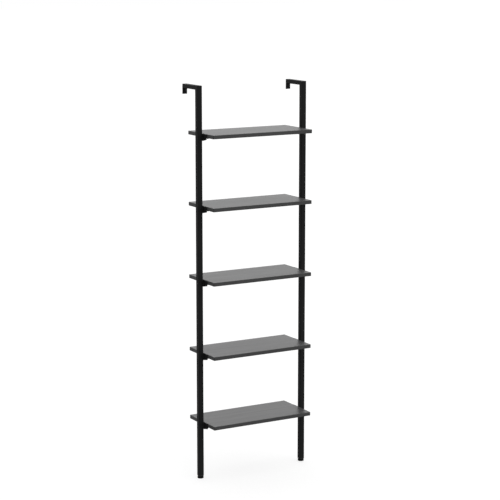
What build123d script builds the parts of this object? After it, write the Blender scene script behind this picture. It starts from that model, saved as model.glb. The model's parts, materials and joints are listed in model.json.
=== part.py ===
"""Wall-fixed ladder shelf: two tube uprights, five boards and levelling feet.

Millimetres. The origin is on the floor, under the middle of the object. +X is
to the user's right, +Y is towards the wall and +Z is up.
"""

import os

from build123d import *

os.makedirs("parts", exist_ok=True)

# Overall size
overall_width = 600.0
overall_height = 1918.0
wall_y = 128.0

# Uprights: square tube that ends above the floor, on a levelling foot
tube_size = 25.0
tube_wall = 1.5
tube_corner = 2.0
tube_bottom_z = 15.0
tube_inner = tube_size - 2 * tube_wall
tube_inner_corner = tube_corner - tube_wall
upright_x = (overall_width - tube_size) / 2
upright_y = -12.4
upright_front_y = upright_y - tube_size / 2

# Arms: a flatter tube of the same width, mitred to the top of each upright
arm_height = 20.0
arm_inner_height = arm_height - 2 * tube_wall
arm_z = overall_height - arm_height / 2

# Wall plates on the rear ends of the arms
wall_plate_thickness = 2.0
wall_plate_height = 49.0
wall_plate_corner = 2.0
wall_plate_front_y = wall_y - wall_plate_thickness
wall_plate_z = overall_height - wall_plate_height / 2
wall_screw_hole_radius = 2.75
wall_screw_z = overall_height - (arm_height + wall_plate_height) / 2

# Boards, numbered from the top down
board_length = 543.5
board_depth = 254.0
board_thickness = 18.0
board_corner = 3.0
board_edge_round = 1.2
board_y = -1.0
board_top_heights = [1692.0, 1347.0, 990.0, 628.0, 283.0]

# Brackets: a plate on the inner face of the tube and a tab below the board
bracket_length = 100.0
bracket_thickness = 3.0
bracket_top_gap = 1.0
bracket_end_drop = 9.0
bracket_middle_drop = 17.0
bracket_corner = 1.5
tab_width = 25.0
tab_corner = 3.0
bracket_outer_x = overall_width / 2 - tube_size
bracket_inner_x = bracket_outer_x - bracket_thickness

# Wood screws through the tabs into the boards
screws_per_tab = 2
screw_spacing = 76.0
screw_x = bracket_inner_x - 13.0
screw_shank_radius = 2.0
screw_head_radius = 4.0
screw_head_height = 2.4
screw_head_round = 0.8
screw_depth_in_board = 12.0
screw_tip_length = 3.0
screw_tip_radius = 0.4
screw_recess_length = 4.6
screw_recess_width = 1.0
screw_recess_depth = 1.2
tab_hole_radius = 2.25
pilot_clearance = 0.02

# Levelling feet: plug in the tube, threaded stud and a pad that the stud turns in
insert_flange = 2.5
insert_clearance = 0.1
insert_corner = 1.0
insert_height = 25.0
insert_groove_depth = 0.8
insert_groove_height = 1.5
insert_groove_pitch = 6.0
insert_groove_count = 3
thread_radius = 4.0
running_clearance = 0.05
stud_top_z = 46.0
stud_point = 1.0
collar_across_flats = 13.0
collar_height = 2.0
collar_gap = 0.25
pad_radius = 15.0
pad_top_radius = 14.2
pad_height = 10.0
pad_shoulder_z = 8.5
pad_edge_round = 1.0
socket_floor_z = 3.0
socket_height = 4.0
socket_radius = 6.0
neck_radius = 3.0

insert_size = tube_inner - 2 * insert_clearance
collar_bottom_z = pad_height + collar_gap
collar_top_z = collar_bottom_z + collar_height

SIDES = {"left": -1, "right": 1}


def save(piece, name):
    """Label a finished piece and write it to its own file."""
    piece.part.label = name
    export_step(piece.part, f"parts/{name}.step")


def mitre_plane(side):
    """Plane of the top joint, from its front top edge to its rear lower edge."""
    corner = Vector(side * upright_x, upright_front_y, overall_height)
    normal = Vector(0, arm_height, tube_size)
    return Plane(origin=corner, x_dir=(1, 0, 0), z_dir=normal)


def make_upright(side):
    """Square tube from above the foot to the mitre."""
    with BuildPart() as upright:
        with BuildSketch(Plane((side * upright_x, upright_y, tube_bottom_z))):
            RectangleRounded(tube_size, tube_size, tube_corner)
            RectangleRounded(tube_inner, tube_inner, tube_inner_corner, mode=Mode.SUBTRACT)
        extrude(amount=overall_height - tube_bottom_z)
        split(bisect_by=mitre_plane(side), keep=Keep.BOTTOM)
    return upright


def make_arm(side):
    """Flat tube from the mitre back to the wall plate."""
    front = Vector(side * upright_x, upright_front_y, arm_z)
    with BuildPart() as arm:
        with BuildSketch(Plane(origin=front, x_dir=(-1, 0, 0), z_dir=(0, 1, 0))):
            RectangleRounded(tube_size, arm_height, tube_corner)
            RectangleRounded(tube_inner, arm_inner_height, tube_inner_corner, mode=Mode.SUBTRACT)
        extrude(amount=wall_plate_front_y - upright_front_y)
        split(bisect_by=mitre_plane(side), keep=Keep.TOP)
    return arm


def make_wall_plate(side):
    """Plate that closes the arm and hangs below it, with one screw hole."""
    centre = Vector(side * upright_x, wall_plate_front_y, wall_plate_z)
    with BuildPart() as plate:
        with BuildSketch(Plane(origin=centre, x_dir=(-1, 0, 0), z_dir=(0, 1, 0))):
            RectangleRounded(tube_size, wall_plate_height, wall_plate_corner)
            with Locations((0, wall_screw_z - wall_plate_z)):
                Circle(wall_screw_hole_radius, mode=Mode.SUBTRACT)
        extrude(amount=wall_plate_thickness)
    return plate


def screw_points():
    """Places of the screws of one bracket, along the board's end."""
    return GridLocations(0, screw_spacing, 1, screws_per_tab)


def make_board(top_z):
    """Board with rounded corners and pilot holes in its underside."""
    underside_z = top_z - board_thickness
    with BuildPart() as board:
        with BuildSketch(Plane((0, board_y, underside_z))):
            RectangleRounded(board_length, board_depth, board_corner)
        extrude(amount=board_thickness)
        flat_faces = board.faces().filter_by(Axis.Z)
        fillet(flat_faces.edges(), board_edge_round)
        for side in SIDES.values():
            with BuildSketch(Plane((side * screw_x, upright_y, underside_z))):
                with screw_points():
                    Circle(screw_shank_radius + pilot_clearance)
            extrude(amount=screw_depth_in_board + pilot_clearance, mode=Mode.SUBTRACT)
    return board


def make_bracket_plate(side, top_z):
    """Plate on the tube that covers the board's end and tapers below the board."""
    underside_z = top_z - board_thickness
    half_length = bracket_length / 2
    half_middle = tube_size / 2
    top = board_thickness - bracket_top_gap
    plate_x = bracket_inner_x if side > 0 else -bracket_outer_x
    plate_plane = Plane((plate_x, upright_y, underside_z), x_dir=(0, 1, 0), z_dir=(1, 0, 0))
    with BuildPart() as plate:
        with BuildSketch(plate_plane):
            with BuildLine():
                Polyline(
                    (-half_length, top),
                    (half_length, top),
                    (half_length, -bracket_end_drop),
                    (half_middle, -bracket_middle_drop),
                    (-half_middle, -bracket_middle_drop),
                    (-half_length, -bracket_end_drop),
                    close=True,
                )
            make_face()
        extrude(amount=bracket_thickness)
        fillet(plate.edges().filter_by(Axis.X), bracket_corner)
    return plate


def make_bracket_tab(side, top_z):
    """Tab below the board's end, with two holes for the wood screws."""
    underside_z = top_z - board_thickness
    tab_x = side * (bracket_inner_x - tab_width / 2)
    with BuildPart() as tab:
        with BuildSketch(Plane((tab_x, upright_y, underside_z - bracket_thickness))):
            Rectangle(tab_width, bracket_length)
        extrude(amount=bracket_thickness)
        free_edge = Axis.X if side < 0 else -Axis.X
        fillet(tab.edges().filter_by(Axis.Z).sort_by(free_edge)[-2:], tab_corner)
        with BuildSketch(Plane((side * screw_x, upright_y, underside_z))):
            with screw_points():
                Circle(tab_hole_radius)
        extrude(amount=-bracket_thickness, mode=Mode.SUBTRACT)
    return tab


def make_board_screws(side):
    """All wood screws of one side: a round head with a cross recess, and a pointed shank."""
    tip_z = screw_depth_in_board
    shank_end_z = tip_z - screw_tip_length
    seat_z = -bracket_thickness
    head_z = seat_z - screw_head_height
    with BuildPart() as screws:
        for top_z in board_top_heights:
            underside_z = top_z - board_thickness
            centre = Vector(side * screw_x, upright_y, underside_z)
            with BuildSketch(Plane(centre + Vector(0, 0, head_z))):
                with screw_points():
                    Circle(screw_head_radius)
            extrude(amount=screw_head_height)
            head_rims = screws.edges().filter_by(GeomType.CIRCLE).group_by(Axis.Z)[0]
            fillet(head_rims, screw_head_round)
            with BuildSketch(Plane(centre + Vector(0, 0, seat_z))):
                with screw_points():
                    Circle(screw_shank_radius)
            extrude(amount=shank_end_z - seat_z)
            for place in screw_points():
                tip = centre + place.position
                with BuildSketch(Plane(tip + Vector(0, 0, shank_end_z))):
                    Circle(screw_shank_radius)
                with BuildSketch(Plane(tip + Vector(0, 0, tip_z))):
                    Circle(screw_tip_radius)
                loft()
            with BuildSketch(Plane(centre + Vector(0, 0, head_z))):
                with screw_points():
                    Rectangle(screw_recess_length, screw_recess_width)
                    Rectangle(screw_recess_width, screw_recess_length)
            extrude(amount=screw_recess_depth, mode=Mode.SUBTRACT)
    return screws


def make_foot_insert(side):
    """Ribbed plug with a flange below the tube and a threaded hole through it."""
    flange_plane = Plane((side * upright_x, upright_y, tube_bottom_z - insert_flange))
    with BuildPart() as insert:
        with BuildSketch(flange_plane):
            RectangleRounded(tube_size, tube_size, tube_corner)
        extrude(amount=insert_flange)
        with BuildSketch(flange_plane):
            RectangleRounded(insert_size, insert_size, insert_corner)
        extrude(amount=insert_flange + insert_height)
        groove_size = insert_size - 2 * insert_groove_depth
        for groove in range(insert_groove_count):
            groove_z = insert_flange + insert_groove_pitch * (groove + 0.5)
            with BuildSketch(flange_plane.offset(groove_z)):
                RectangleRounded(tube_size, tube_size, tube_corner)
                RectangleRounded(groove_size, groove_size, insert_corner, mode=Mode.SUBTRACT)
            extrude(amount=insert_groove_height, mode=Mode.SUBTRACT)
        with BuildSketch(flange_plane):
            Circle(thread_radius + running_clearance)
        extrude(amount=insert_flange + insert_height, mode=Mode.SUBTRACT)
    return insert


def make_foot_stud(side):
    """Threaded stud with a spanner collar and a round head held in the pad."""
    foot = Plane((side * upright_x, upright_y, 0))
    head_bottom_z = socket_floor_z + running_clearance
    head_top_z = socket_floor_z + socket_height - running_clearance
    with BuildPart() as stud:
        with BuildSketch(foot.offset(head_bottom_z)):
            Circle(socket_radius)
        extrude(amount=head_top_z - head_bottom_z)
        with BuildSketch(foot.offset(head_top_z)):
            Circle(neck_radius)
        extrude(amount=collar_bottom_z - head_top_z)
        with BuildSketch(foot.offset(collar_bottom_z)):
            RegularPolygon(collar_across_flats / 2, 6, major_radius=False)
        extrude(amount=collar_height)
        with BuildSketch(foot.offset(collar_top_z)):
            Circle(thread_radius)
        extrude(amount=stud_top_z - collar_top_z)
        chamfer(stud.edges().sort_by(Axis.Z)[-1], stud_point)
    return stud


def make_foot_pad(side):
    """Round pad with a socket that holds the head of the stud."""
    foot = Plane((side * upright_x, upright_y, 0))
    with BuildPart() as pad:
        with BuildSketch(Plane(foot.origin, x_dir=(1, 0, 0), z_dir=(0, -1, 0))):
            with BuildLine():
                Polyline(
                    (0, 0),
                    (pad_radius, 0),
                    (pad_radius, pad_shoulder_z),
                    (pad_top_radius, pad_height),
                    (0, pad_height),
                    close=True,
                )
            make_face()
        revolve(axis=Axis(foot.origin, (0, 0, 1)))
        fillet(pad.edges().sort_by(Axis.Z)[0], pad_edge_round)
        with BuildSketch(foot.offset(socket_floor_z)):
            Circle(socket_radius + running_clearance)
        extrude(amount=socket_height, mode=Mode.SUBTRACT)
        with BuildSketch(foot.offset(socket_floor_z)):
            Circle(neck_radius + running_clearance)
        extrude(amount=pad_height - socket_floor_z, mode=Mode.SUBTRACT)
    return pad


for name, side in SIDES.items():
    save(make_upright(side), f"upright_{name}")
    save(make_arm(side), f"wall_arm_{name}")
    save(make_wall_plate(side), f"wall_plate_{name}")
    save(make_foot_insert(side), f"foot_insert_{name}")
    save(make_foot_stud(side), f"foot_stud_{name}")
    save(make_foot_pad(side), f"foot_pad_{name}")
    save(make_board_screws(side), f"board_screws_{name}")

for number, top_z in enumerate(board_top_heights, start=1):
    save(make_board(top_z), f"shelf_board_{number}")
    for name, side in SIDES.items():
        save(make_bracket_plate(side, top_z), f"bracket_plate_{name}_{number}")
        save(make_bracket_tab(side, top_z), f"bracket_tab_{name}_{number}")
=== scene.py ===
"""Looks of the wall ladder shelf: materials, weld beads, threads, light and camera."""

import json
import math

import bmesh
import bpy
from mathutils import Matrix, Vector


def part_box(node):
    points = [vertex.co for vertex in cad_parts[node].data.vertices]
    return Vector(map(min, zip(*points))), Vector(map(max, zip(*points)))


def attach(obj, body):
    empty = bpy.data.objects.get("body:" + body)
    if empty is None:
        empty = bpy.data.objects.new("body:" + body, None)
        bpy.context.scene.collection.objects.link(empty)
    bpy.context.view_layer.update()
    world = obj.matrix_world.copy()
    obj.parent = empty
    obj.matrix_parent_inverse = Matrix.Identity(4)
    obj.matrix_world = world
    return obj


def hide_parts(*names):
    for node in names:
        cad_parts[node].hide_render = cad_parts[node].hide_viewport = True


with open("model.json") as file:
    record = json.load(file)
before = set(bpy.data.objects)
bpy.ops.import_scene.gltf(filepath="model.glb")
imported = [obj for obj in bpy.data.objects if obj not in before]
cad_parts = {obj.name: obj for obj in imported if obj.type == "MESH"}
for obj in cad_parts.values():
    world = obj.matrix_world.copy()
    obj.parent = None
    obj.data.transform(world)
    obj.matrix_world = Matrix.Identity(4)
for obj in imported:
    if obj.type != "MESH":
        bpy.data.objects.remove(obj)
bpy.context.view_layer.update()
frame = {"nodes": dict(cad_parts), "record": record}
nodes = frame["nodes"]
mounts = {mount["name"]: mount for mount in frame["record"]["mounts"]}

MM = 0.001
SIDES = ("left", "right")
BOARD_NUMBERS = range(1, 6)
MERGE_DISTANCE = 0.001 * MM

# Angles in degrees, above which an edge stays sharp
SHARP_ANGLE = 40
PAD_SHARP_ANGLE = 30
STUD_SHARP_ANGLE = 50

# Board laminate
GRAIN_STRETCH = 24.0
GRAIN_SHIFT = (3.1, 1.7, 0.9)
END_FACE_LIMIT = 0.75
BAND_SHEET = 1.3 * MM
GLUE_LINE = 0.12 * MM

# Weld beads, in metres
WELD_RIPPLE = 1.8 * MM
WELD_STEPS_PER_RIPPLE = 8
WELD_RIPPLE_HEIGHT = 0.05
WELD_RIPPLE_CURVE = 0.4
WELD_ARC_STEPS = 8
WELD_FLATNESS = 0.8
WELD_SUNK = 0.15
BRACKET_WELD = 3.2 * MM
BRACKET_WELD_MARGIN = 2.0 * MM
CORNER_WELD = 4.5 * MM
CORNER_WELD_INSET = 1.2 * MM
PLATE_WELD = 3.2 * MM

# Wall screws, in metres
WALL_SCREW_SHANK = 2.4 * MM
SCREW_HEAD_RADIUS = 4.8 * MM
SCREW_HEAD_HEIGHT = 2.6 * MM
SCREW_DOME_POWER = 4
RECESS_REACH = 3.0 * MM
RECESS_HALF_WIDTH = 0.65 * MM
RECESS_DEPTH = 2.0 * MM
SCREW_RINGS = 18
SCREW_SEGMENTS = 64

# Levelling pads, in millimetres
PAD_SEGMENTS = 64
SOLE_GROOVE = 0.6
SOLE_BEVEL = 0.3
SOLE_RINGS = ((3.0, 5.2), (6.4, 8.6), (9.8, 12.0))
# inset from the rim, with the height over the sole or the drop below the top
RIM_FROM_SOLE = ((0.8, 0), (0.25, 0.25), (0, 0.8), (0, 3.0), (0.35, 3.3), (0.35, 3.8), (0, 4.1))
RIM_FROM_TOP = ((0, 1.6), (0.25, 0.6), (1.0, 0))
# radius, with the drop below the top or the height over the sole
SOCKET_MOUTH = ((3.6, 0), (3.1, 0.4))
SOCKET_CAVITY = ((3.1, 7.05), (6.05, 7.05), (6.05, 2.95), (0, 2.95))

# Levelling studs, in millimetres
STUD_SEGMENTS = 48
HEAD_RADIUS = 6.0
HEAD_HEIGHT = 3.9
HEAD_BEVEL = 0.4
NECK_RADIUS = 3.0
COLLAR_BOTTOM = 10.25
COLLAR_HEIGHT = 2.0
COLLAR_HALF_FLATS = 6.5
COLLAR_CORNER_RATIO = 1.155
COLLAR_BEVEL_INSET = 0.8
COLLAR_BEVEL_HEIGHT = 0.3
THREAD_PITCH = 1.25
THREAD_DEPTH = 0.6
THREAD_RADIUS = 3.98
THREAD_ROWS = 8
THREAD_SEGMENTS = 32
THREAD_FLANK = 2.4
THREAD_ROOT = 0.1
THREAD_RUN_OUT = 1.0
THREAD_RUN_OUT_DEPTH = 0.6

# Light: where each broad lobe comes from, its sharpness and its strength
AMBIENT_LIGHT = 0.02
LIGHT_LOBES = (
    ((0, 0, 1), 1.5, 1.4),
    ((0.5, 0.87, 0.15), 2.0, 1.3),
    ((0.6, -0.8, 0.3), 2.0, 0.95),
    ((-0.8, 0.5, 0.2), 2.0, 0.33),
)

# Stage: in metres, with the lens and sensor in millimetres and the turns in degrees
FLOOR_HALF_SIZE = 60
FLOOR_CELLS = 8
FLOOR_GLOW = 0.74
CAMERA_LENS = 121.9
CAMERA_SENSOR = 36
CAMERA_PLACE = (-4.038, -7.045, 2.561)
CAMERA_DOWN = 10.162
CAMERA_TURN = -29.812


# ---------------------------------------------------------------- node helpers


class NodeTree:
    """The emptied node tree of a material or a world."""

    def __init__(self, owner):
        owner.use_nodes = True
        self.tree = owner.node_tree
        self.tree.nodes.clear()

    def add(self, kind, **settings):
        node = self.tree.nodes.new(kind)
        for key, value in settings.items():
            setattr(node, key, value)
        return node

    def link(self, source, target):
        self.tree.links.new(source, target)

    def math(self, operation, first, second=0.0):
        node = self.add("ShaderNodeMath", operation=operation)
        for socket, value in zip(node.inputs, (first, second)):
            if isinstance(value, (int, float)):
                socket.default_value = value
            else:
                self.link(value, socket)
        return node.outputs["Value"]


class Shader(NodeTree):
    """A material with a principled shader and procedural textures."""

    def __init__(self, name):
        self.material = bpy.data.materials.new(name)
        super().__init__(self.material)
        self.surface = self.add("ShaderNodeBsdfPrincipled")
        output = self.add("ShaderNodeOutputMaterial")
        self.link(self.surface.outputs["BSDF"], output.inputs["Surface"])
        self.place = self.add("ShaderNodeTexCoord").outputs["Object"]

    def stretched(self, scale, offset=(0, 0, 0)):
        """The place on the object, in metres, times a scale for each axis."""
        mapping = self.add("ShaderNodeMapping")
        mapping.inputs["Location"].default_value = offset
        mapping.inputs["Scale"].default_value = scale
        self.link(self.place, mapping.inputs["Vector"])
        return mapping.outputs["Vector"]

    def noise(self, vector, scale, detail=2.0, roughness=0.5, distortion=0.0):
        node = self.add("ShaderNodeTexNoise")
        node.inputs["Scale"].default_value = scale
        node.inputs["Detail"].default_value = detail
        node.inputs["Roughness"].default_value = roughness
        node.inputs["Distortion"].default_value = distortion
        self.link(vector, node.inputs["Vector"])
        return node.outputs["Fac"]

    def ranged(self, value, before, after):
        """Maps the range before to the range after; each is its low and high end."""
        node = self.add("ShaderNodeMapRange")
        ends = ("From Min", "From Max", "To Min", "To Max")
        for name, number in zip(ends, (*before, *after)):
            node.inputs[name].default_value = number
        self.link(value, node.inputs["Value"])
        return node.outputs["Result"]

    def colour_ramp(self, value, stops):
        node = self.add("ShaderNodeValToRGB")
        ramp = node.color_ramp
        while len(ramp.elements) < len(stops):
            ramp.elements.new(0.5)
        for element, (position, colour) in zip(ramp.elements, stops):
            element.position = position
            element.color = (*colour, 1)
        self.link(value, node.inputs["Fac"])
        return node.outputs["Color"]

    def mix(self, factor, first, second):
        node = self.add("ShaderNodeMix", data_type="RGBA")
        for name, value in (("Factor", factor), ("A", first), ("B", second)):
            socket = next(s for s in node.inputs if s.name == name and s.enabled)
            if isinstance(value, (int, float)):
                socket.default_value = value
            elif isinstance(value, tuple):
                socket.default_value = (*value, 1)
            else:
                self.link(value, socket)
        return next(s for s in node.outputs if s.enabled)

    def bump(self, height, distance, strength, under=None):
        """A bump whose distance is in metres, over the one under it."""
        node = self.add("ShaderNodeBump")
        node.inputs["Strength"].default_value = strength
        node.inputs["Distance"].default_value = distance
        self.link(height, node.inputs["Height"])
        if under is not None:
            self.link(under, node.inputs["Normal"])
        return node.outputs["Normal"]

    def finish(self, colour, roughness, normal, **constants):
        self.link(colour, self.surface.inputs["Base Color"])
        self.link(roughness, self.surface.inputs["Roughness"])
        self.link(normal, self.surface.inputs["Normal"])
        for name, value in constants.items():
            self.surface.inputs[name.replace("_", " ")].default_value = value
        return self.material


# ------------------------------------------------------------------- materials


def grey(value, tint=0.0):
    """A neutral colour, with its blue raised by tint."""
    return (value, value, value * (1 + tint))


def powder_coat():
    """Fine-grained matt black powder coat over steel."""
    s = Shader("black_powder_coat")
    cloud = s.noise(s.place, 9.0, detail=3.0)
    speckle = s.noise(s.place, 1400.0, detail=2.0, roughness=0.6)
    peel = s.noise(s.place, 420.0, detail=1.0)
    tone = s.math("ADD", s.math("MULTIPLY", cloud, 0.5), s.math("MULTIPLY", speckle, 0.5))
    colour = s.colour_ramp(tone, [(0.35, grey(0.0145, 0.02)), (0.65, grey(0.0205, 0.02))])
    roughness = s.ranged(tone, (0.3, 0.7), (0.46, 0.56))
    coarse = s.bump(peel, 0.12 * MM, 0.5)
    normal = s.bump(speckle, 0.12 * MM, 0.6, under=coarse)
    return s.finish(colour, roughness, normal, Specular_IOR_Level=0.12)


def board_laminate(number):
    """Charcoal laminate with a faint grain along the board, banded at its edges."""
    s = Shader(f"charcoal_laminate_{number}")
    low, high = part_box(f"shelf_board_{number}")
    shift = tuple(step * number for step in GRAIN_SHIFT)

    normal_split = s.add("ShaderNodeSeparateXYZ")
    s.link(s.add("ShaderNodeTexCoord").outputs["Normal"], normal_split.inputs[0])
    facing_x = s.math("ABSOLUTE", normal_split.outputs["X"])
    end_face = s.math("GREATER_THAN", facing_x, END_FACE_LIMIT)

    along_x = s.stretched((1.0, GRAIN_STRETCH, GRAIN_STRETCH), shift)
    along_y = s.stretched((GRAIN_STRETCH, 1.0, GRAIN_STRETCH), shift)
    grain_place = s.mix(end_face, along_x, along_y)

    broad = s.noise(grain_place, 2.6, detail=4.0, roughness=0.55, distortion=0.6)
    fine = s.noise(grain_place, 26.0, detail=3.0, roughness=0.65, distortion=0.3)
    pores = s.noise(grain_place, 90.0, detail=1.0)
    grain = s.math("ADD", s.math("MULTIPLY", broad, 0.55), s.math("MULTIPLY", fine, 0.45))
    colour = s.colour_ramp(
        grain,
        [(0.30, grey(0.052, 0.02)), (0.50, grey(0.062, 0.02)), (0.72, grey(0.073, 0.02))],
    )
    deep_pore = s.ranged(pores, (0.30, 0.42), (1.0, 0.0))
    colour = s.mix(s.math("MULTIPLY", deep_pore, 0.35), colour, grey(0.03))

    # a dark glue line where the edge band meets the top and the bottom sheet
    place_split = s.add("ShaderNodeSeparateXYZ")
    s.link(s.place, place_split.inputs[0])
    height = s.math("SUBTRACT", place_split.outputs["Z"], (low.z + high.z) / 2)
    from_middle = s.math("ABSOLUTE", height)
    sheet_edge = (high.z - low.z) / 2 - BAND_SHEET
    off_line = s.math("ABSOLUTE", s.math("SUBTRACT", from_middle, sheet_edge))
    glue_line = s.math("LESS_THAN", off_line, GLUE_LINE)
    colour = s.mix(s.math("MULTIPLY", glue_line, 0.5), colour, grey(0.025))

    roughness = s.ranged(grain, (0.3, 0.7), (0.44, 0.36))
    coarse = s.bump(fine, 0.08 * MM, 0.30)
    normal = s.bump(pores, 0.05 * MM, 0.35, under=coarse)
    return s.finish(colour, roughness, normal, Specular_IOR_Level=0.5)


def zinc_plate():
    """Bright zinc-plated steel with fine turning marks."""
    s = Shader("zinc_plate")
    turned = s.noise(s.stretched((1.0, 1.0, 30.0)), 300.0, detail=2.0)
    blotch = s.noise(s.place, 120.0, detail=3.0)
    colour = s.colour_ramp(blotch, [(0.3, grey(0.46, 0.03)), (0.7, grey(0.62, 0.05))])
    roughness = s.ranged(turned, (0.3, 0.7), (0.22, 0.36))
    normal = s.bump(turned, 0.03 * MM, 0.4)
    return s.finish(colour, roughness, normal, Metallic=1.0)


def black_zinc():
    """Dark passivated screw steel."""
    s = Shader("black_zinc")
    blotch = s.noise(s.place, 260.0, detail=3.0)
    colour = s.colour_ramp(blotch, [(0.3, grey(0.020, 0.04)), (0.7, grey(0.034, 0.06))])
    roughness = s.ranged(blotch, (0.3, 0.7), (0.30, 0.42))
    normal = s.bump(blotch, 0.03 * MM, 0.4)
    return s.finish(colour, roughness, normal, Metallic=0.6)


def moulded_plastic():
    """Black moulded plastic with a fine spark texture."""
    s = Shader("moulded_plastic")
    spark = s.noise(s.place, 1900.0, detail=2.0, roughness=0.6)
    cloud = s.noise(s.place, 70.0, detail=2.0)
    colour = s.colour_ramp(cloud, [(0.3, grey(0.026, 0.02)), (0.7, grey(0.036, 0.02))])
    roughness = s.ranged(spark, (0.3, 0.7), (0.42, 0.56))
    normal = s.bump(spark, 0.05 * MM, 0.5)
    return s.finish(colour, roughness, normal, Specular_IOR_Level=0.5)


def foot_rubber():
    """Matt black rubber with a bloom of dust in its texture."""
    s = Shader("foot_rubber")
    bloom = s.noise(s.place, 160.0, detail=4.0, roughness=0.6)
    grit = s.noise(s.place, 2400.0, detail=1.0)
    colour = s.colour_ramp(bloom, [(0.35, grey(0.006)), (0.75, grey(0.012))])
    roughness = s.ranged(bloom, (0.3, 0.7), (0.72, 0.86))
    normal = s.bump(grit, 0.06 * MM, 0.5)
    return s.finish(colour, roughness, normal, Specular_IOR_Level=0.3)


def floor_paper():
    """Seamless white studio paper that glows, so that the shadows on it stay faint."""
    s = Shader("studio_paper")
    fibre = s.noise(s.place, 40.0, detail=4.0)
    colour = s.colour_ramp(fibre, [(0.3, grey(0.29)), (0.7, grey(0.31))])
    roughness = s.ranged(fibre, (0.3, 0.7), (0.9, 0.95))
    normal = s.bump(fibre, 0.2 * MM, 0.1)
    return s.finish(
        colour,
        roughness,
        normal,
        Specular_IOR_Level=0.1,
        Emission_Color=(1, 1, 1, 1),
        Emission_Strength=FLOOR_GLOW,
    )


STEEL = powder_coat()
RUBBER = foot_rubber()
PLASTIC = moulded_plastic()
ZINC = zinc_plate()
SCREW = black_zinc()


def give(node_name, material):
    mesh = nodes[node_name].data
    mesh.materials.clear()
    mesh.materials.append(material)


for side in SIDES:
    for part in ("upright", "wall_arm", "wall_plate"):
        give(f"{part}_{side}", STEEL)
    give(f"foot_insert_{side}", PLASTIC)
    give(f"foot_pad_{side}", RUBBER)
    give(f"foot_stud_{side}", ZINC)
    give(f"board_screws_{side}", SCREW)
for number in BOARD_NUMBERS:
    give(f"shelf_board_{number}", board_laminate(number))
    for side in SIDES:
        give(f"bracket_plate_{side}_{number}", STEEL)
        give(f"bracket_tab_{side}_{number}", STEEL)


# -------------------------------------------------------------- modelled pieces


def add_object(name, data):
    made = bpy.data.objects.new(name, data)
    bpy.context.scene.collection.objects.link(made)
    return made


def finished_piece(name, shape, material, body, sharp_angle=SHARP_ANGLE):
    """Turns a bmesh into a named piece that rides on a body, sharp above an angle."""
    bmesh.ops.remove_doubles(shape, verts=shape.verts, dist=MERGE_DISTANCE)
    bmesh.ops.recalc_face_normals(shape, faces=shape.faces)
    mesh = bpy.data.meshes.new(name)
    shape.to_mesh(mesh)
    shape.free()
    mesh.materials.append(material)
    mesh.shade_smooth()
    mesh.set_sharp_from_angle(angle=math.radians(sharp_angle))
    piece = add_object(name, mesh)
    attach(piece, body)
    return piece


def turns(count):
    """The angles of a full circle, in equal steps."""
    return [2 * math.pi * i / count for i in range(count)]


def round_point(centre, radius, turn, height):
    """A point about a vertical axis; radius and height are in millimetres."""
    offset = Vector((radius * math.cos(turn), radius * math.sin(turn), height))
    return centre + offset * MM


def add_rings(shape, rings):
    """Skins a list of closed rings of points and closes the two ends."""
    rows = [[shape.verts.new(point) for point in ring] for ring in rings]
    count = len(rows[0])
    for lower, upper in zip(rows, rows[1:]):
        for i in range(count):
            k = (i + 1) % count
            shape.faces.new((lower[i], lower[k], upper[k], upper[i]))
    shape.faces.new(list(reversed(rows[0])))
    shape.faces.new(rows[-1])


def add_lathe(shape, centre, profile, segments):
    """Turns a profile of radius and height, in millimetres, about a vertical axis."""
    rows = []
    for radius, height in profile:
        if radius == 0:
            rows.append([shape.verts.new(centre + Vector((0, 0, height * MM)))])
            continue
        ring = [round_point(centre, radius, turn, height) for turn in turns(segments)]
        rows.append([shape.verts.new(point) for point in ring])
    for first, second in zip(rows, rows[1:]):
        for i in range(segments):
            k = (i + 1) % segments
            around = [
                first[i % len(first)],
                first[k % len(first)],
                second[k % len(second)],
                second[i % len(second)],
            ]
            corners = list(dict.fromkeys(around))
            if len(corners) > 2:
                shape.faces.new(corners)


def add_bead(shape, start, end, leg_a, leg_b, size):
    """A fillet weld along an inside corner, with the curved ripples that a torch leaves."""
    along = end - start
    steps = int(along.length / WELD_RIPPLE * WELD_STEPS_PER_RIPPLE)
    sunk = (leg_a + leg_b) * (-WELD_SUNK * size)
    rings = []
    for i in range(steps + 1):
        share = i / steps
        place = start + along * share
        from_end = min(share, 1 - share) * along.length
        taper = math.sqrt(min(1.0, (from_end + WELD_SUNK * size) / size))
        ring = [place + sunk]
        for k in range(WELD_ARC_STEPS + 1):
            turn = math.pi / 2 * k / WELD_ARC_STEPS
            crown = WELD_FLATNESS + (1 - WELD_FLATNESS) * abs(math.cos(2 * turn))
            lag = WELD_RIPPLE_CURVE * math.sin(2 * turn)
            wave = math.sin(2 * math.pi * (share * along.length / WELD_RIPPLE - lag))
            reach = size * taper * crown * (1 + WELD_RIPPLE_HEIGHT * wave)
            ring.append(place + leg_a * math.cos(turn) * reach + leg_b * math.sin(turn) * reach)
        rings.append(ring)
    add_rings(shape, rings)


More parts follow.
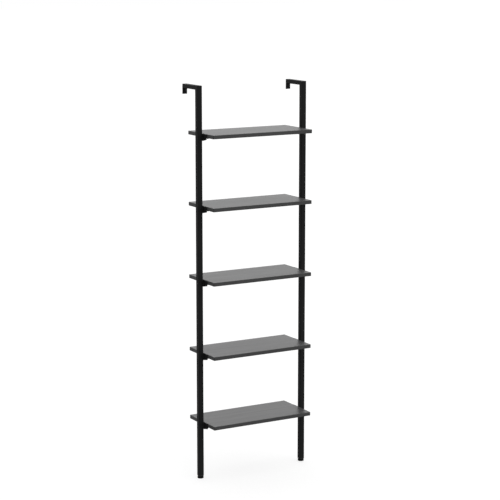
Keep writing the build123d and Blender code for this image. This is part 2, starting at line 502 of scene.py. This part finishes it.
def add_welds():
    """Beads on the brackets, at the inner corner of each arm and over each wall plate."""
    x_way, y_way, z_way = Vector((1, 0, 0)), Vector((0, 1, 0)), Vector((0, 0, 1))
    for side, sign in (("left", -1), ("right", 1)):
        low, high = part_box(f"upright_{side}")
        face_x = low.x if sign > 0 else high.x
        outward = x_way * sign
        for number in BOARD_NUMBERS:
            plate_low, plate_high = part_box(f"bracket_plate_{side}_{number}")
            bottom = plate_low.z + BRACKET_WELD_MARGIN
            top = plate_high.z - BRACKET_WELD_MARGIN
            shape = bmesh.new()
            for place_y, way in ((low.y, -1), (high.y, 1)):
                start = Vector((face_x, place_y, bottom))
                end = Vector((face_x, place_y, top))
                add_bead(shape, start, end, outward, y_way * way, BRACKET_WELD)
            finished_piece(f"bracket_welds_{side}_{number}", shape, STEEL, "frame")

        arm_low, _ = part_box(f"wall_arm_{side}")
        wall_low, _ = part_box(f"wall_plate_{side}")
        left_x = low.x + CORNER_WELD_INSET
        right_x = high.x - CORNER_WELD_INSET
        shape = bmesh.new()
        for place_y, way, size in (
            (high.y, 1, CORNER_WELD),
            (wall_low.y, -1, PLATE_WELD),
        ):
            start = Vector((left_x, place_y, arm_low.z))
            end = Vector((right_x, place_y, arm_low.z))
            add_bead(shape, start, end, y_way * way, -z_way, size)
        finished_piece(f"arm_welds_{side}", shape, STEEL, "frame")


def recess_depth(across, up):
    """Depth of the cross recess at a place on the screw's head."""
    long_way = max(abs(across), abs(up))
    short_way = min(abs(across), abs(up))
    if long_way < RECESS_REACH and short_way < RECESS_HALF_WIDTH:
        return RECESS_DEPTH * (1 - long_way / RECESS_REACH)
    return 0


def add_wall_screw(side):
    """Pan-head screw with a cross recess, through the wall plate to the wall."""
    low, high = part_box(f"wall_plate_{side}")
    screw_z = mounts["wall_screw_holes"]["pos_m"][2]
    centre = Vector(((low.x + high.x) / 2, low.y, screw_z))
    shape = bmesh.new()
    rows = []
    for ring in range(SCREW_RINGS + 1):
        radius = SCREW_HEAD_RADIUS * ring / SCREW_RINGS
        dome = SCREW_HEAD_HEIGHT * (1 - (ring / SCREW_RINGS) ** SCREW_DOME_POWER)
        row = []
        for turn in turns(SCREW_SEGMENTS):
            across = radius * math.cos(turn)
            up = radius * math.sin(turn)
            row.append(centre + Vector((across, recess_depth(across, up) - dome, up)))
        rows.append(row)
    for back in (0, high.y - low.y):
        row = []
        for turn in turns(SCREW_SEGMENTS):
            across = WALL_SCREW_SHANK * math.cos(turn)
            up = WALL_SCREW_SHANK * math.sin(turn)
            row.append(centre + Vector((across, back, up)))
        rows.append(row)
    add_rings(shape, rows)
    finished_piece(f"wall_screw_{side}", shape, SCREW, "frame")


def add_foot_pad(side):
    """Rubber pad with a grooved rim and a ringed sole, open for the stud's head."""
    low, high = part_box(f"foot_pad_{side}")
    centre = Vector(((low.x + high.x) / 2, (low.y + high.y) / 2, low.z))
    radius = (high.x - low.x) / 2 / MM
    height = (high.z - low.z) / MM
    sole = [(0, SOLE_GROOVE)]
    for inner, outer in SOLE_RINGS:
        sole += [
            (inner - SOLE_BEVEL, SOLE_GROOVE),
            (inner, 0),
            (outer, 0),
            (outer + SOLE_BEVEL, SOLE_GROOVE),
        ]
    rim = [(radius - inset, rise) for inset, rise in RIM_FROM_SOLE]
    rim += [(radius - inset, height - drop) for inset, drop in RIM_FROM_TOP]
    socket = [(reach, height - drop) for reach, drop in SOCKET_MOUTH]
    socket += SOCKET_CAVITY
    shape = bmesh.new()
    add_lathe(shape, centre, sole + rim + socket, PAD_SEGMENTS)
    pad = finished_piece(
        f"levelling_pad_{side}",
        shape,
        RUBBER,
        f"pad_{side}",
        PAD_SHARP_ANGLE,
    )
    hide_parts(f"foot_pad_{side}")


def hexagon(centre, height, inset):
    """A ring round the stud's collar, with its corners cut back by an inset."""
    ring = []
    for turn in turns(STUD_SEGMENTS):
        from_flat = (turn % (math.pi / 3)) - math.pi / 6
        flat = COLLAR_HALF_FLATS / math.cos(from_flat)
        radius = min(flat, COLLAR_HALF_FLATS * COLLAR_CORNER_RATIO - inset)
        ring.append(round_point(centre, radius, turn, height))
    return ring


def thread_rings(centre, bottom, top):
    """Rings of a rolled thread, run out at both ends."""
    rings = []
    steps = int((top - bottom) / THREAD_PITCH * THREAD_ROWS)
    for step in range(steps + 1):
        height = bottom + (top - bottom) * step / steps
        from_end = min(height - bottom, top - height)
        run_out = max(0.0, THREAD_RUN_OUT - from_end) * THREAD_RUN_OUT_DEPTH
        ring = []
        for i, turn in enumerate(turns(THREAD_SEGMENTS)):
            phase = (height / THREAD_PITCH - i / THREAD_SEGMENTS) % 1.0
            crest = min(1.0, max(0.0, THREAD_FLANK * abs(phase - 0.5) - THREAD_ROOT))
            radius = THREAD_RADIUS - THREAD_DEPTH * (1 - crest) - run_out
            ring.append(round_point(centre, radius, turn, height))
        rings.append(ring)
    return rings


def add_foot_stud(side):
    """Zinc-plated levelling stud: round head, hexagon collar and a rolled thread."""
    low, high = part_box(f"foot_stud_{side}")
    insert_low, insert_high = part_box(f"foot_insert_{side}")
    middle_x = (insert_low.x + insert_high.x) / 2
    middle_y = (insert_low.y + insert_high.y) / 2
    centre = Vector((middle_x, middle_y, 0))
    head_bottom = low.z / MM
    head_top = head_bottom + HEAD_HEIGHT
    collar_top = COLLAR_BOTTOM + COLLAR_HEIGHT
    shape = bmesh.new()
    head = [
        (0, head_bottom),
        (HEAD_RADIUS - HEAD_BEVEL, head_bottom),
        (HEAD_RADIUS, head_bottom + HEAD_BEVEL),
        (HEAD_RADIUS, head_top - HEAD_BEVEL),
        (HEAD_RADIUS - HEAD_BEVEL, head_top),
        (NECK_RADIUS, head_top),
        (NECK_RADIUS, COLLAR_BOTTOM),
        (0, COLLAR_BOTTOM),
    ]
    add_lathe(shape, centre, head, STUD_SEGMENTS)
    add_rings(shape, [
        hexagon(centre, COLLAR_BOTTOM, COLLAR_BEVEL_INSET),
        hexagon(centre, COLLAR_BOTTOM + COLLAR_BEVEL_HEIGHT, 0),
        hexagon(centre, collar_top - COLLAR_BEVEL_HEIGHT, 0),
        hexagon(centre, collar_top, COLLAR_BEVEL_INSET),
    ])
    add_rings(shape, thread_rings(centre, collar_top, high.z / MM))
    stud = finished_piece(
        f"levelling_stud_{side}",
        shape,
        ZINC,
        f"stud_{side}",
        STUD_SHARP_ANGLE,
    )
    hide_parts(f"foot_stud_{side}")


add_welds()
for side in SIDES:
    add_wall_screw(side)
    add_foot_pad(side)
    add_foot_stud(side)


# ----------------------------------------------------------------------- stage


def add_floor():
    mesh = bpy.data.meshes.new("floor")
    grid = bmesh.new()
    bmesh.ops.create_grid(
        grid,
        x_segments=FLOOR_CELLS,
        y_segments=FLOOR_CELLS,
        size=FLOOR_HALF_SIZE,
    )
    grid.to_mesh(mesh)
    grid.free()
    mesh.materials.append(floor_paper())
    floor = add_object("floor", mesh)
    floor.visible_diffuse = False
    floor.visible_glossy = False


def add_world():
    """Soft light in broad lobes, behind a white backdrop that only the camera sees."""
    world = bpy.data.worlds.new("studio")
    bpy.context.scene.world = world
    sky = NodeTree(world)
    direction = sky.add("ShaderNodeTexCoord").outputs["Generated"]

    total = AMBIENT_LIGHT
    for aim, width, strength in LIGHT_LOBES:
        towards = sky.add("ShaderNodeVectorMath", operation="DOT_PRODUCT")
        towards.inputs[1].default_value = Vector(aim).normalized()
        sky.link(direction, towards.inputs[0])
        facing = sky.math("MAXIMUM", towards.outputs["Value"], 0.0)
        lobe = sky.math("POWER", facing, width)
        total = sky.math("ADD", sky.math("MULTIPLY", lobe, strength), total)

    light = sky.add("ShaderNodeBackground")
    sky.link(total, light.inputs["Strength"])
    backdrop = sky.add("ShaderNodeBackground")
    backdrop.inputs["Color"].default_value = (1, 1, 1, 1)
    seen = sky.add("ShaderNodeLightPath")
    choose = sky.add("ShaderNodeMixShader")
    output = sky.add("ShaderNodeOutputWorld")
    sky.link(seen.outputs["Is Camera Ray"], choose.inputs[0])
    sky.link(light.outputs[0], choose.inputs[1])
    sky.link(backdrop.outputs[0], choose.inputs[2])
    sky.link(choose.outputs[0], output.inputs["Surface"])


def add_camera():
    """The main view: from the front left, a little above the top board."""
    data = bpy.data.cameras.new("camera")
    data.lens = CAMERA_LENS
    data.sensor_width = CAMERA_SENSOR
    camera = add_object("camera", data)
    camera.location = CAMERA_PLACE
    camera.rotation_euler = (math.radians(90 - CAMERA_DOWN), 0, math.radians(CAMERA_TURN))
    bpy.context.scene.camera = camera


add_floor()
add_world()
add_camera()
bpy.context.scene.view_settings.view_transform = "Standard"
